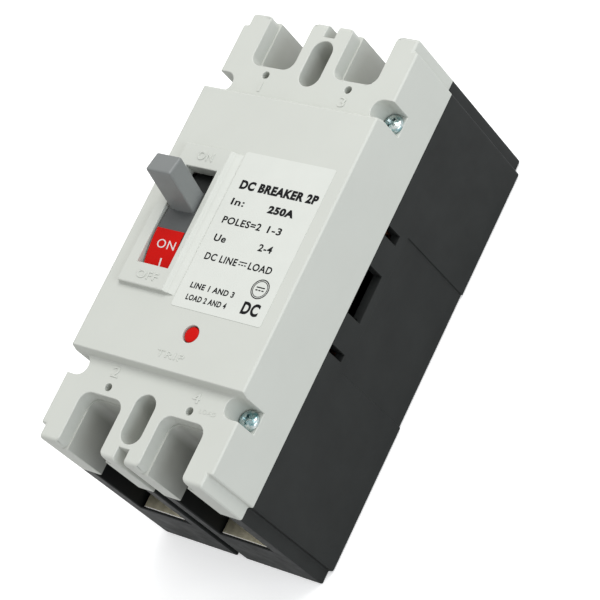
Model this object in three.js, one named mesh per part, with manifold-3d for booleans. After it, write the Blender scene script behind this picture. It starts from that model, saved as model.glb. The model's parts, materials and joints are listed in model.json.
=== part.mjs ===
// Two-pole DC moulded-case circuit breaker, 250 A frame, in millimetres.
// X runs across the poles, Y runs from the load end to the line end, and Z comes out of the front.
// The origin is the middle of the back face. The breaker is closed (handle at ON).

import * as THREE from "three";
import { mergeVertices } from "three/addons/utils/BufferGeometryUtils.js";
import Module from "manifold-3d";

const wasm = await Module();
wasm.setup();

// ---------------------------------------------------------------- driving dimensions

const LENGTH = 165;
const WIDTH = 75;
const NOSE_LENGTH = 5;
const NOSE_INSET = 2;
const SEAM_Z = 54.2;
const SHOULDER_Z = 80;
const PLATEAU_Z = 84;
const PLATEAU_HALF_LENGTH = 51;
const ESCUTCHEON_Z = 86;
const CHAMBER_HALF_LENGTH = 48.5;
const GAP = 0.3;
const OVER = 1;

const POLE_X = 17.75;
const POLE_SIDES = [-1, 1];
const END_SIDES = [-1, 1];

const SCREW_X = 33.8;
const SCREW_Y = 54.8;
const SCREW_SEAT_Z = 70;
const SCREW_POCKET_RADIUS = 3.8;
const SCREW_HEAD_RADIUS = 3.3;
const SCREW_HEAD_HEIGHT = 2.3;
const SCREW_SHANK_RADIUS = 1.75;
const SCREW_TIP_Z = 40;

const POCKET_INNER_X = 6.5;
const POCKET_OUTER_X = 29.5;
const POCKET_BACK_Y = 64;
const WINDOW_HALF_WIDTH = 9.15;
const WINDOW_BACK_Y = 63;
const WINDOW_CORNER = 4;
const WINDOW_LEDGE = 0.65;
const WINDOW_LEDGE_Z = 74.4;
const WINDOW_MOUTH = 2.6;

const SLOT_HALF_WIDTH = 4.2;
const SLOT_NEAR_Y = 58.4;
const SLOT_FAR_Y = 76;
const MOUNT_HOLE_Y = 63;
const MOUNT_HOLE_RADIUS = 2.75;
const MOUNT_SEAT_Z = 46;
const BARRIER_GROOVE_HALF = 2.25;
const BARRIER_GROOVE_Y = 77.6;
const PROBE_X = 17.7;
const PROBE_Y = 59.8;

const BAR_HALF_WIDTH = 10.5;
const BAR_BOTTOM_Z = 20.5;
const BAR_TOP_Z = 24.5;
const BAR_END_Y = 81.7;
const BAR_DROP_Y = 55.5;
const PAD_NEAR_Y = 66;
const PAD_TOP_Z = 25;
const LIP_INNER_Y = 81.85;
const LIP_TOP_Z = 24.7;
const BOLT_Y = 73;
const BOLT_HOLE_RADIUS = 4.4;
const NUT_HALF_FLATS = 6.5;
const NUT_HEIGHT = 6.5;

const PIVOT_Y = -3.1;
const PIVOT_Z = 36;
const HANDLE_TILT = THREE.MathUtils.degToRad(12);
const HANDLE_X = -19.05;
const HANDLE_HALF_WIDTH = 5.35;
const HANDLE_HALF_THICKNESS = 3.75;
const HANDLE_TIP_RADIUS = 69.1;
const HANDLE_ROOT_RADIUS = 35;
const SHIELD_X = -19.25;
const SHIELD_HALF_WIDTH = 6.25;
const SHIELD_INNER_RADIUS = 47.6;
const SHIELD_OUTER_RADIUS = 49.2;
const SHIELD_BACK_ANGLE = THREE.MathUtils.degToRad(-19);
const SHIELD_FRONT_ANGLE = THREE.MathUtils.degToRad(51);
const FLAG_THICKNESS = 0.35;
const FLAG_FRONT_ANGLE = THREE.MathUtils.degToRad(-1);
const CHANNEL_RADIUS = 50.1;
const OPENING_X0 = -26.1;
const OPENING_X1 = -12.5;
const OPENING_Y0 = -17.4;
const OPENING_Y1 = 19.5;

const BUTTON_X = 7.3;
const BUTTON_Y = -36.3;
const BUTTON_TOP_Z = 83.6;
const BUTTON_HEAD_RADIUS = 2.85;
const BUTTON_STEM_RADIUS = 1.5;
const BUTTON_FLANGE_RADIUS = 3.9;
const BUTTON_FLANGE_Z = 78.2;
const BUTTON_TIP_Z = 49.9;
const BOSS_RADIUS = 5.9;
const BOSS_BORE_RADIUS = 4.3;
const BOSS_BOTTOM_Z = 66;
const BOSS_CEILING_Z = 80.4;

const MECHANISM_X = -18.8;
const ROTOR_Y = -8;
const ROTOR_Z = 18;
const ROTOR_RADIUS = 8;
const ROTOR_HALF_LENGTH = 33.4;
const TRUNNION_HALF_LENGTH = 35.2;
const ROTOR_TRUNNION_RADIUS = 3;
const ARM_HALF_WIDTH = 3.5;
const CONTACT_Y = 35;
const CONTACT_RADIUS = 3.8;
const FIXED_CONTACT_Z = 7;
const CONTACT_THICKNESS = 3;

const TRIP_BAR_Y = -29;
const TRIP_BAR_Z = 47;
const TRIP_BAR_RADIUS = 3.2;
const TRIP_TRUNNION_RADIUS = 1.8;

const CRADLE_PIVOT = [14, 53];
const UPPER_PIVOT = [-4.7, 50.9];
const KNEE = [6.5, 45.7];
const ROTOR_LUG = [11.9, 26.2];
const LINK_PIN_RADIUS = 1.5;
const KNEE_HOLE_RADIUS = 2.5;

// ---------------------------------------------------------------- materials

function finish(color, roughness, metalness = 0) {
  return new THREE.MeshStandardMaterial({ color, roughness, metalness });
}

const materials = {
  blackPlastic: finish(0x383a39, 0.45),
  lightPlastic: finish(0xd8dad4, 0.5),
  greyPlastic: finish(0x7f8383, 0.45),
  redPlastic: finish(0xcd0f14, 0.4),
  label: finish(0xe8eae4, 0.6),
  zinc: finish(0xb4bcc0, 0.3, 1),
  platedCopper: finish(0xb4a878, 0.3, 1),
  copper: finish(0xb87350, 0.35, 1),
  silver: finish(0xd2d2d2, 0.25, 1),
  steel: finish(0x9a9a9a, 0.4, 1),
  fibre: finish(0xa2583a, 0.8),
  crossbarPlastic: finish(0x6e3a24, 0.55),
};

// ---------------------------------------------------------------- shape helpers

function toSolid(geometry) {
  const bare = geometry.clone();
  bare.deleteAttribute("normal");
  bare.deleteAttribute("uv");
  const merged = mergeVertices(bare, 1e-4);
  const mesh = new wasm.Mesh({
    numProp: 3,
    vertProperties: new Float32Array(merged.attributes.position.array),
    triVerts: new Uint32Array(merged.index.array),
  });
  return new wasm.Manifold(mesh);
}

function toGeometry(solid) {
  const mesh = solid.getMesh();
  const geometry = new THREE.BufferGeometry();
  geometry.setAttribute("position", new THREE.BufferAttribute(mesh.vertProperties, 3));
  geometry.setIndex(new THREE.BufferAttribute(mesh.triVerts, 1));
  geometry.computeVertexNormals();
  return geometry;
}

function joinAll(solids) {
  return solids.reduce((sum, solid) => sum.add(solid));
}

function cutAll(body, cutters) {
  return body.subtract(joinAll(cutters));
}

function block(x0, x1, y0, y1, z0, z1) {
  const [left, right] = [Math.min(x0, x1), Math.max(x0, x1)];
  const [near, far] = [Math.min(y0, y1), Math.max(y0, y1)];
  const geometry = new THREE.BoxGeometry(right - left, far - near, z1 - z0);
  geometry.translate((left + right) / 2, (near + far) / 2, (z0 + z1) / 2);
  return toSolid(geometry);
}

function outline(points) {
  return new THREE.Shape(points.map(([u, v]) => new THREE.Vector2(u, v)));
}

// A shape drawn in X and Y, extruded from z0 to z1.
function prismZ(shape, z0, z1, curveSegments = 8) {
  const geometry = new THREE.ExtrudeGeometry(shape, { depth: z1 - z0, bevelEnabled: false, curveSegments });
  geometry.translate(0, 0, z0);
  return toSolid(geometry);
}

// A shape drawn in Y and Z, extruded from x0 to x1.
function prismX(shape, x0, x1, curveSegments = 8) {
  const geometry = new THREE.ExtrudeGeometry(shape, { depth: x1 - x0, bevelEnabled: false, curveSegments });
  const turn = new THREE.Matrix4().makeBasis(
    new THREE.Vector3(0, 1, 0),
    new THREE.Vector3(0, 0, 1),
    new THREE.Vector3(1, 0, 0),
  );
  geometry.applyMatrix4(turn);
  geometry.translate(x0, 0, 0);
  return toSolid(geometry);
}

// A shape drawn in Z and X, extruded from y0 to y1.
function prismY(shape, y0, y1, curveSegments = 8) {
  const geometry = new THREE.ExtrudeGeometry(shape, { depth: y1 - y0, bevelEnabled: false, curveSegments });
  const turn = new THREE.Matrix4().makeBasis(
    new THREE.Vector3(0, 0, 1),
    new THREE.Vector3(1, 0, 0),
    new THREE.Vector3(0, 1, 0),
  );
  geometry.applyMatrix4(turn);
  geometry.translate(0, y0, 0);
  return toSolid(geometry);
}

function discZ(x, y, radius, z0, z1, sides = 24) {
  const geometry = new THREE.CylinderGeometry(radius, radius, z1 - z0, sides);
  geometry.rotateX(Math.PI / 2);
  geometry.translate(x, y, (z0 + z1) / 2);
  return toSolid(geometry);
}

function discX(y, z, radius, x0, x1, sides = 16) {
  const geometry = new THREE.CylinderGeometry(radius, radius, x1 - x0, sides);
  geometry.rotateZ(Math.PI / 2);
  geometry.translate((x0 + x1) / 2, y, z);
  return toSolid(geometry);
}

// A straight slot with round ends, running along Y.
function obroundShape(x, y0, y1, radius) {
  const [near, far] = [Math.min(y0, y1) + radius, Math.max(y0, y1) - radius];
  const shape = new THREE.Shape();
  shape.absarc(x, far, radius, 0, Math.PI, false);
  shape.absarc(x, near, radius, Math.PI, 2 * Math.PI, false);
  shape.closePath();
  return shape;
}

// A coil spring of round wire, from one point to another.
function coil(from, to, radius, wireRadius, turns) {
  const start = new THREE.Vector3(...from);
  const end = new THREE.Vector3(...to);
  const along = end.clone().sub(start);
  const unit = along.clone().normalize();
  const side = new THREE.Vector3(1, 0, 0);
  const other = new THREE.Vector3().crossVectors(unit, side).normalize();
  const curve = new THREE.Curve();
  curve.getPoint = (t, target = new THREE.Vector3()) => {
    const angle = 2 * Math.PI * turns * t;
    target.copy(start).addScaledVector(along, t);
    target.addScaledVector(side, radius * Math.cos(angle));
    return target.addScaledVector(other, radius * Math.sin(angle));
  };
  const sides = 5;
  const section = [];
  for (let corner = 0; corner < sides; corner += 1) {
    const angle = 2 * Math.PI * corner / sides;
    section.push([wireRadius * Math.cos(angle), wireRadius * Math.sin(angle)]);
  }
  const stepsPerTurn = 8;
  const geometry = new THREE.ExtrudeGeometry(outline(section), {
    steps: Math.round(turns * stepsPerTurn),
    extrudePath: curve,
  });
  return toSolid(geometry);
}

const group = new THREE.Group();

function addNode(name, solid, material, parent = group) {
  const mesh = new THREE.Mesh(toGeometry(solid), material);
  mesh.name = name;
  parent.add(mesh);
  return mesh;
}

// ---------------------------------------------------------------- case outline

function caseOutline() {
  const halfWidth = WIDTH / 2;
  const noseHalfWidth = halfWidth - NOSE_INSET;
  const halfLength = LENGTH / 2;
  const bodyHalfLength = halfLength - NOSE_LENGTH;
  return outline([
    [halfWidth, -bodyHalfLength],
    [halfWidth, bodyHalfLength],
    [noseHalfWidth, bodyHalfLength],
    [noseHalfWidth, halfLength],
    [-noseHalfWidth, halfLength],
    [-noseHalfWidth, bodyHalfLength],
    [-halfWidth, bodyHalfLength],
    [-halfWidth, -bodyHalfLength],
    [-noseHalfWidth, -bodyHalfLength],
    [-noseHalfWidth, -halfLength],
    [noseHalfWidth, -halfLength],
    [noseHalfWidth, -bodyHalfLength],
  ]);
}

function mountSlots(z0, z1) {
  return END_SIDES.map((end) => {
    const shape = obroundShape(0, end * SLOT_NEAR_Y, end * SLOT_FAR_Y, SLOT_HALF_WIDTH);
    return prismZ(shape, z0, z1, 8);
  });
}

function barrierGrooves(z0, z1) {
  const outer = LENGTH / 2 + OVER;
  return END_SIDES.map((end) =>
    block(-BARRIER_GROOVE_HALF, BARRIER_GROOVE_HALF, end * BARRIER_GROOVE_Y, end * outer, z0, z1));
}

function screwHoles(z0, z1) {
  const radius = SCREW_SHANK_RADIUS + GAP;
  return POLE_SIDES.flatMap((side) =>
    END_SIDES.map((end) => discZ(side * SCREW_X, end * SCREW_Y, radius, z0, z1, 12)));
}

// ---------------------------------------------------------------- base

const FLOOR_Z = 3;
const CHAMBER_HALF_WIDTH = 34;
const NECK_HALF_WIDTH = 28.5;
const BASE_NECK_Y = 58;
const PARTITION_HALF = 2.5;
const SIDE_RECESS = 0.5;
const SIDE_RECESS_Z = 42;
const BEARING_DEPTH_X = 35.8;
const SIDE_OPENINGS = [
  [23, 26.5, 46.4],
  [-6, 11.5, 45.8],
  [-20.5, -17.8, 45.8],
];
const RECESS_Y = [-23, 28.5];

function baseChambers() {
  return POLE_SIDES.flatMap((side) => [
    block(side * PARTITION_HALF, side * CHAMBER_HALF_WIDTH, -CHAMBER_HALF_LENGTH, CHAMBER_HALF_LENGTH,
      FLOOR_Z, SEAM_Z + OVER),
    block(side * PARTITION_HALF, side * NECK_HALF_WIDTH, -BASE_NECK_Y, BASE_NECK_Y, FLOOR_Z, SEAM_Z + OVER),
  ]);
}

function basePockets() {
  const outer = LENGTH / 2 + OVER;
  const passage = BAR_HALF_WIDTH + 0.4;
  return POLE_SIDES.flatMap((side) => END_SIDES.flatMap((end) => [
    block(side * POCKET_INNER_X, side * POCKET_OUTER_X, end * POCKET_BACK_Y, end * outer,
      LIP_TOP_Z, SEAM_Z + OVER),
    block(side * POCKET_INNER_X, side * POCKET_OUTER_X, end * POCKET_BACK_Y, end * LIP_INNER_Y,
      BAR_BOTTOM_Z, LIP_TOP_Z + OVER),
    block(side * POLE_X - passage, side * POLE_X + passage, end * (BASE_NECK_Y - OVER),
      end * (POCKET_BACK_Y + OVER), BAR_BOTTOM_Z, BAR_TOP_Z + 0.4),
  ]));
}

function hexagon(x, y, halfFlats) {
  const radius = halfFlats / Math.cos(Math.PI / 6);
  const points = [];
  for (let corner = 0; corner < 6; corner += 1) {
    const angle = (corner + 0.5) * Math.PI / 3;
    points.push([x + radius * Math.cos(angle), y + radius * Math.sin(angle)]);
  }
  return outline(points);
}

function nutPockets() {
  const seat = BAR_BOTTOM_Z - NUT_HEIGHT - GAP;
  return POLE_SIDES.flatMap((side) => END_SIDES.flatMap((end) => [
    prismZ(hexagon(side * POLE_X, end * BOLT_Y, NUT_HALF_FLATS + GAP), seat, BAR_BOTTOM_Z + OVER),
    discZ(side * POLE_X, end * BOLT_Y, 4.6, 5, seat + OVER, 16),
  ]));
}

function partitionCuts() {
  const reach = PARTITION_HALF + OVER;
  return [
    block(-reach, reach, ROTOR_Y - 10, ROTOR_Y + 10, 8, SEAM_Z + OVER),
    block(-reach, reach, TRIP_BAR_Y - 8, TRIP_BAR_Y + 6, 34, SEAM_Z + OVER),
  ];
}

function bearingSlots() {
  const inner = CHAMBER_HALF_WIDTH - 0.1;
  const rotorHalf = ROTOR_TRUNNION_RADIUS + GAP;
  const tripHalf = TRIP_TRUNNION_RADIUS + GAP;
  return POLE_SIDES.flatMap((side) => [
    block(side * inner, side * BEARING_DEPTH_X, ROTOR_Y - rotorHalf, ROTOR_Y + rotorHalf,
      ROTOR_Z - rotorHalf, SEAM_Z + OVER),
    block(side * inner, side * BEARING_DEPTH_X, TRIP_BAR_Y - tripHalf, TRIP_BAR_Y + tripHalf,
      TRIP_BAR_Z - tripHalf, SEAM_Z + OVER),
  ]);
}

function sideFeatures() {
  const outer = WIDTH / 2 + OVER;
  return POLE_SIDES.flatMap((side) => [
    block(side * (WIDTH / 2 - SIDE_RECESS), side * outer, RECESS_Y[0], RECESS_Y[1], -OVER, SIDE_RECESS_Z),
    ...SIDE_OPENINGS.map(([y0, y1, z0]) =>
      block(side * (CHAMBER_HALF_WIDTH - OVER), side * outer, y0, y1, z0, SEAM_Z + OVER)),
  ]);
}

function makeBase() {
  const mountHoles = END_SIDES.map((end) =>
    discZ(0, end * MOUNT_HOLE_Y, MOUNT_HOLE_RADIUS, -OVER, MOUNT_SEAT_Z + OVER, 20));
  return cutAll(prismZ(caseOutline(), 0, SEAM_Z), [
    ...baseChambers(),
    ...basePockets(),
    ...nutPockets(),
    ...partitionCuts(),
    ...bearingSlots(),
    ...sideFeatures(),
    ...mountSlots(MOUNT_SEAT_Z, SEAM_Z + OVER),
    ...mountHoles,
    ...barrierGrooves(-OVER, SEAM_Z + OVER),
    ...screwHoles(SCREW_TIP_Z - 2, SEAM_Z + OVER),
  ]);
}

// ---------------------------------------------------------------- front cover

const COVER_CHAMBER_HALF_WIDTH = 34.5;
const COVER_CEILING_Z = 81;
const COVER_NECK_CEILING_Z = 77;
const COVER_NECK_Y = 55.5;
const RIB_HALF = 1.25;
const RIB_START_Y = 8;

// One terminal window: round inner corners, and a mouth at the end face that can be flared.
function windowShape(side, end, inset, flare) {
  const x0 = side * POLE_X - WINDOW_HALF_WIDTH + inset;
  const x1 = side * POLE_X + WINDOW_HALF_WIDTH - inset;
  const back = WINDOW_BACK_Y + inset;
  const mouth = LENGTH / 2;
  const corner = WINDOW_CORNER - inset;
  const shape = new THREE.Shape();
  shape.moveTo(x0 - flare, mouth + OVER);
  shape.lineTo(x0 - flare, mouth);
  if (flare > 0) {
    shape.absarc(x0 - flare, mouth - flare, flare, Math.PI / 2, 0, true);
  }
  shape.absarc(x0 + corner, back + corner, corner, Math.PI, 1.5 * Math.PI, false);
  shape.absarc(x1 - corner, back + corner, corner, 1.5 * Math.PI, 2 * Math.PI, false);
  if (flare > 0) {
    shape.absarc(x1 + flare, mouth - flare, flare, Math.PI, Math.PI / 2, true);
  }
  shape.lineTo(x1 + flare, mouth + OVER);
  if (end > 0) {
    return shape;
  }
  const flipped = shape.getPoints(5).map((point) => [point.x, -point.y]);
  return outline(flipped.reverse());
}

// The mouth is flared above the ledge and straight below it.
function terminalWindows() {
  return POLE_SIDES.flatMap((side) => END_SIDES.flatMap((end) => [
    prismZ(windowShape(side, end, 0, WINDOW_MOUTH), WINDOW_LEDGE_Z, SHOULDER_Z + OVER, 5),
    prismZ(windowShape(side, end, WINDOW_LEDGE, 0), SEAM_Z - OVER, WINDOW_LEDGE_Z + OVER, 5),
  ]));
}

function screwPockets() {
  const outer = WIDTH / 2 + OVER;
  return POLE_SIDES.flatMap((side) => END_SIDES.flatMap((end) => [
    discZ(side * SCREW_X, end * SCREW_Y, SCREW_POCKET_RADIUS, SCREW_SEAT_Z, PLATEAU_Z + OVER, 24),
    block(side * SCREW_X, side * outer, end * SCREW_Y - SCREW_POCKET_RADIUS,
      end * SCREW_Y + SCREW_POCKET_RADIUS, SCREW_SEAT_Z, PLATEAU_Z + OVER),
  ]));
}

function plateau() {
  const [edge, top] = [PLATEAU_HALF_LENGTH, PLATEAU_HALF_LENGTH - 0.8];
  const profile = outline([
    [-edge, SHOULDER_Z - OVER],
    [edge, SHOULDER_Z - OVER],
    [edge, SHOULDER_Z],
    [top, PLATEAU_Z],
    [-top, PLATEAU_Z],
    [-edge, SHOULDER_Z],
  ]);
  return prismX(profile, -WIDTH / 2, WIDTH / 2);
}

// The raised field round the handle; its side towards the label falls away in two slopes.
function escutcheon() {
  const profile = outline([
    [PLATEAU_Z - OVER, -30.9],
    [PLATEAU_Z - OVER, -6.5],
    [PLATEAU_Z, -6.5],
    [PLATEAU_Z + 0.9, -8.2],
    [PLATEAU_Z + 1.1, -9.2],
    [ESCUTCHEON_Z, -10.3],
    [ESCUTCHEON_Z, -30.4],
    [PLATEAU_Z, -30.9],
  ]);
  return prismY(profile, -25.3, 27.6);
}

function coverChamber() {
  const bottom = SEAM_Z - OVER;
  const halfWidth = COVER_CHAMBER_HALF_WIDTH;
  return [
    block(-halfWidth, halfWidth, -CHAMBER_HALF_LENGTH, RIB_START_Y, bottom, COVER_CEILING_Z),
    block(-NECK_HALF_WIDTH, NECK_HALF_WIDTH, -COVER_NECK_Y, RIB_START_Y, bottom, COVER_NECK_CEILING_Z),
    ...POLE_SIDES.flatMap((side) => [
      block(side * RIB_HALF, side * halfWidth, RIB_START_Y - OVER, CHAMBER_HALF_LENGTH, bottom, COVER_CEILING_Z),
      block(side * RIB_HALF, side * NECK_HALF_WIDTH, RIB_START_Y - OVER, COVER_NECK_Y, bottom,
        COVER_NECK_CEILING_Z),
    ]),
  ];
}

function handleOpening() {
  return [
    block(OPENING_X0, OPENING_X1, OPENING_Y0, OPENING_Y1, COVER_CEILING_Z - OVER, ESCUTCHEON_Z + OVER),
    discX(PIVOT_Y, PIVOT_Z, CHANNEL_RADIUS, OPENING_X0, OPENING_X1, 72),
  ];
}

function makeCover() {
  const shell = joinAll([prismZ(caseOutline(), SEAM_Z, SHOULDER_Z), plateau(), escutcheon()]);
  const hollow = cutAll(shell, coverChamber());
  const boss = discZ(BUTTON_X, BUTTON_Y, BOSS_RADIUS, BOSS_BOTTOM_Z, COVER_CEILING_Z + OVER, 24);
  const probes = POLE_SIDES.flatMap((side) =>
    END_SIDES.map((end) => discZ(side * PROBE_X, end * PROBE_Y, 1.4, SHOULDER_Z - 12, SHOULDER_Z + OVER, 16)));
  return cutAll(hollow.add(boss), [
    ...terminalWindows(),
    ...screwPockets(),
    ...screwHoles(SEAM_Z - OVER, SCREW_SEAT_Z + OVER),
    ...mountSlots(SEAM_Z - OVER, SHOULDER_Z + OVER),
    ...barrierGrooves(SEAM_Z - OVER, SHOULDER_Z + OVER),
    ...probes,
    ...handleOpening(),
    discZ(BUTTON_X, BUTTON_Y, BOSS_BORE_RADIUS, BOSS_BOTTOM_Z - OVER, BOSS_CEILING_Z, 24),
    discZ(BUTTON_X, BUTTON_Y, BUTTON_HEAD_RADIUS + GAP, BOSS_CEILING_Z - OVER, PLATEAU_Z + OVER, 24),
  ]);
}

function makeLabel() {
  return block(-6, 32, -28.5, 29.3, PLATEAU_Z, PLATEAU_Z + 0.3);
}

function makeCoverScrew(side, end) {
  const rim = SCREW_SEAT_Z + SCREW_HEAD_HEIGHT * 0.55;
  const profile = [
    [0, SCREW_TIP_Z],
    [SCREW_SHANK_RADIUS - 0.6, SCREW_TIP_Z],
    [SCREW_SHANK_RADIUS, SCREW_TIP_Z + 1.5],
    [SCREW_SHANK_RADIUS, SCREW_SEAT_Z],
    [SCREW_HEAD_RADIUS, SCREW_SEAT_Z],
    [SCREW_HEAD_RADIUS, rim],
    [SCREW_HEAD_RADIUS * 0.75, SCREW_SEAT_Z + SCREW_HEAD_HEIGHT * 0.9],
    [0, SCREW_SEAT_Z + SCREW_HEAD_HEIGHT],
  ];
  const geometry = new THREE.LatheGeometry(profile.map(([r, z]) => new THREE.Vector2(r, z)), 16);
  geometry.rotateX(Math.PI / 2);
  geometry.translate(side * SCREW_X, end * SCREW_Y, 0);
  return toSolid(geometry);
}

// ---------------------------------------------------------------- current path

// A bar from the terminal pad, through the wall, down to a foot on the chamber floor.
function makeTerminal(side, end, footZ, footEndY) {
  const x = side * POLE_X;
  const dropInnerY = BAR_DROP_Y - 4.5;
  const bar = joinAll([
    block(x - BAR_HALF_WIDTH, x + BAR_HALF_WIDTH, end * BAR_DROP_Y, end * (PAD_NEAR_Y + OVER), BAR_BOTTOM_Z, BAR_TOP_Z),
    block(x - BAR_HALF_WIDTH, x + BAR_HALF_WIDTH, end * PAD_NEAR_Y, end * BAR_END_Y, BAR_BOTTOM_Z, PAD_TOP_Z),
    block(x - 6, x + 6, end * dropInnerY, end * (BAR_DROP_Y + 0.5), footZ, BAR_TOP_Z),
    block(x - 6, x + 6, end * footEndY, end * (BAR_DROP_Y + 0.5), footZ, footZ + 4),
  ]);
  return bar.subtract(discZ(x, end * BOLT_Y, BOLT_HOLE_RADIUS, BAR_BOTTOM_Z - OVER, PAD_TOP_Z + OVER, 28));
}

function makeNut(side, end) {
  const bottom = BAR_BOTTOM_Z - NUT_HEIGHT - GAP / 2;
  const body = prismZ(hexagon(side * POLE_X, end * BOLT_Y, NUT_HALF_FLATS), bottom, bottom + NUT_HEIGHT);
  return body.subtract(discZ(side * POLE_X, end * BOLT_Y, 3.4, bottom - OVER, BAR_BOTTOM_Z + OVER, 20));
}

function makeFixedContact(side) {
  const top = FIXED_CONTACT_Z + CONTACT_THICKNESS;
  return discZ(side * POLE_X, CONTACT_Y, CONTACT_RADIUS, FIXED_CONTACT_Z, top, 20);
}

const ARM_BOTTOM_Z = FIXED_CONTACT_Z + 2 * CONTACT_THICKNESS + GAP;

function makeMovingArm(side) {
  const profile = outline([
    [-14, 12.7],
    [20, ARM_BOTTOM_Z],
    [39.4, ARM_BOTTOM_Z],
    [39.4, ARM_BOTTOM_Z + 4],
    [34, ARM_BOTTOM_Z + 5.6],
    [0, 19.4],
    [-14, 18],
  ]);
  return prismX(profile, side * POLE_X - ARM_HALF_WIDTH, side * POLE_X + ARM_HALF_WIDTH);
}

function makeMovingContact(side) {
  return discZ(side * POLE_X, CONTACT_Y, CONTACT_RADIUS - GAP, ARM_BOTTOM_Z - CONTACT_THICKNESS, ARM_BOTTOM_Z, 20);
}

function makeCrossbar() {
  const sockets = POLE_SIDES.map((side) => {
    const reach = ARM_HALF_WIDTH + GAP;
    return block(side * POLE_X - reach, side * POLE_X + reach, ROTOR_Y - 10, ROTOR_Y + 10, 12.3, 19.8);
  });
  const [lugY, lugZ] = ROTOR_LUG;
  const lugShape = new THREE.Shape();
  lugShape.moveTo(ROTOR_Y + 2, 20);
  lugShape.lineTo(ROTOR_Y + 6, 20);
  lugShape.lineTo(lugY, lugZ - 3.4);
  lugShape.absarc(lugY, lugZ, 3.4, -Math.PI / 2, Math.PI / 2, false);
  lugShape.lineTo(ROTOR_Y + 2, 25.4);
  const lug = prismX(lugShape, MECHANISM_X - 3, MECHANISM_X + 3, 6);
  const bar = joinAll([
    discX(ROTOR_Y, ROTOR_Z, ROTOR_RADIUS, -ROTOR_HALF_LENGTH, ROTOR_HALF_LENGTH, 28),
    discX(ROTOR_Y, ROTOR_Z, ROTOR_TRUNNION_RADIUS, -TRUNNION_HALF_LENGTH, TRUNNION_HALF_LENGTH, 16),
  ]);
  const pinHole = discX(lugY, lugZ, LINK_PIN_RADIUS + GAP, MECHANISM_X - 4, MECHANISM_X + 4, 14);
  return cutAll(bar, sockets).add(lug).subtract(pinHole);
}

function makeBraid(side) {
  const shape = new THREE.Shape();
  shape.moveTo(-14.4, 13.4);
  shape.quadraticCurveTo(-21, 12.5, -24, 9.3);
  shape.lineTo(-31, 9.3);
  shape.lineTo(-31, 11.3);
  shape.lineTo(-25.5, 11.3);
  shape.quadraticCurveTo(-22, 15.8, -14.4, 16.4);
  return prismX(shape, side * POLE_X - 3.2, side * POLE_X + 3.2, 6);
}

// ---------------------------------------------------------------- arc chutes

const CHUTE_HALF_WIDTH = 13.2;
const CHUTE_WALL = 1.2;
const CHUTE_Y = [27, 48.2];
const CHUTE_Z = [10, 51];
const ARC_PLATE_COUNT = 5;
const ARC_PLATE_PITCH = 6.8;
const ARC_PLATE_THICKNESS = 1.5;
const FIRST_PLATE_Z = 20;

function makeChuteFrame(side) {
  const x = side * POLE_X;
  const shell = block(x - CHUTE_HALF_WIDTH, x + CHUTE_HALF_WIDTH, CHUTE_Y[0], CHUTE_Y[1], CHUTE_Z[0], CHUTE_Z[1]);
  const inner = CHUTE_HALF_WIDTH - CHUTE_WALL;
  const hollow = block(x - inner, x + inner, CHUTE_Y[0] - OVER, CHUTE_Y[1] - CHUTE_WALL,
    CHUTE_Z[0] - OVER, CHUTE_Z[1] + OVER);
  const vents = [];
  for (let row = 0; row < 4; row += 1) {
    const bottom = FIRST_PLATE_Z + 3 + row * ARC_PLATE_PITCH;
    vents.push(block(x - 8, x + 8, CHUTE_Y[1] - 2 * CHUTE_WALL, CHUTE_Y[1] + OVER, bottom, bottom + 2.4));
  }
  return cutAll(shell, [hollow, ...vents]);
}

// One splitter plate with the tapered notch that the moving contact swings through.
function makeArcPlate(side, index) {
  const x = side * POLE_X;
  const half = CHUTE_HALF_WIDTH - CHUTE_WALL - GAP;
  const shape = outline([
    [x - half, CHUTE_Y[0] + 1],
    [x - 6.5, CHUTE_Y[0] + 1],
    [x - 4.6, CHUTE_Y[0] + 12],
    [x - 2, 42],
    [x + 2, 42],
    [x + 4.6, CHUTE_Y[0] + 12],
    [x + 6.5, CHUTE_Y[0] + 1],
    [x + half, CHUTE_Y[0] + 1],
    [x + half, CHUTE_Y[1] - CHUTE_WALL - GAP],
    [x - half, CHUTE_Y[1] - CHUTE_WALL - GAP],
  ]);
  const z = FIRST_PLATE_Z + index * ARC_PLATE_PITCH;
  return prismZ(shape, z, z + ARC_PLATE_THICKNESS);
}

// ---------------------------------------------------------------- trip unit

const ARMATURE_HINGE = [-50.6, 23.6];

function makeBimetal(side) {
  const x = side * POLE_X;
  const profile = outline([
    [-39.5, 9],
    [-34.2, 9],
    [-34.2, 42],
    [-35.4, 42],
    [-35.4, 10.2],
    [-39.5, 10.2],
  ]);
  return prismX(profile, x + 1, x + 7);
}

function makeMagnetYoke(side) {
  const x = side * POLE_X;
  const outer = block(x - 8.8, x + 8.8, -50, -44, FLOOR_Z, 21);
  return outer.subtract(block(x - 6.4, x + 6.4, -50 - OVER, -44 + OVER, FLOOR_Z + 1.7, 21 + OVER));
}

// Clapper plate over the yoke, with a tail that reaches the trip bar.
function makeArmature(side) {
  const x = side * POLE_X;
  const clapper = block(x - 8.8, x + 8.8, -50.6, -43.8, 22.6, 24.6);
  const tail = block(x - 7, x - 2, -50.6, -49, 23, 41);
  const arm = block(x - 7, x - 2, -50.6, -33.8, 39, 41);
  return joinAll([clapper, tail, arm]);
}

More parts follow.
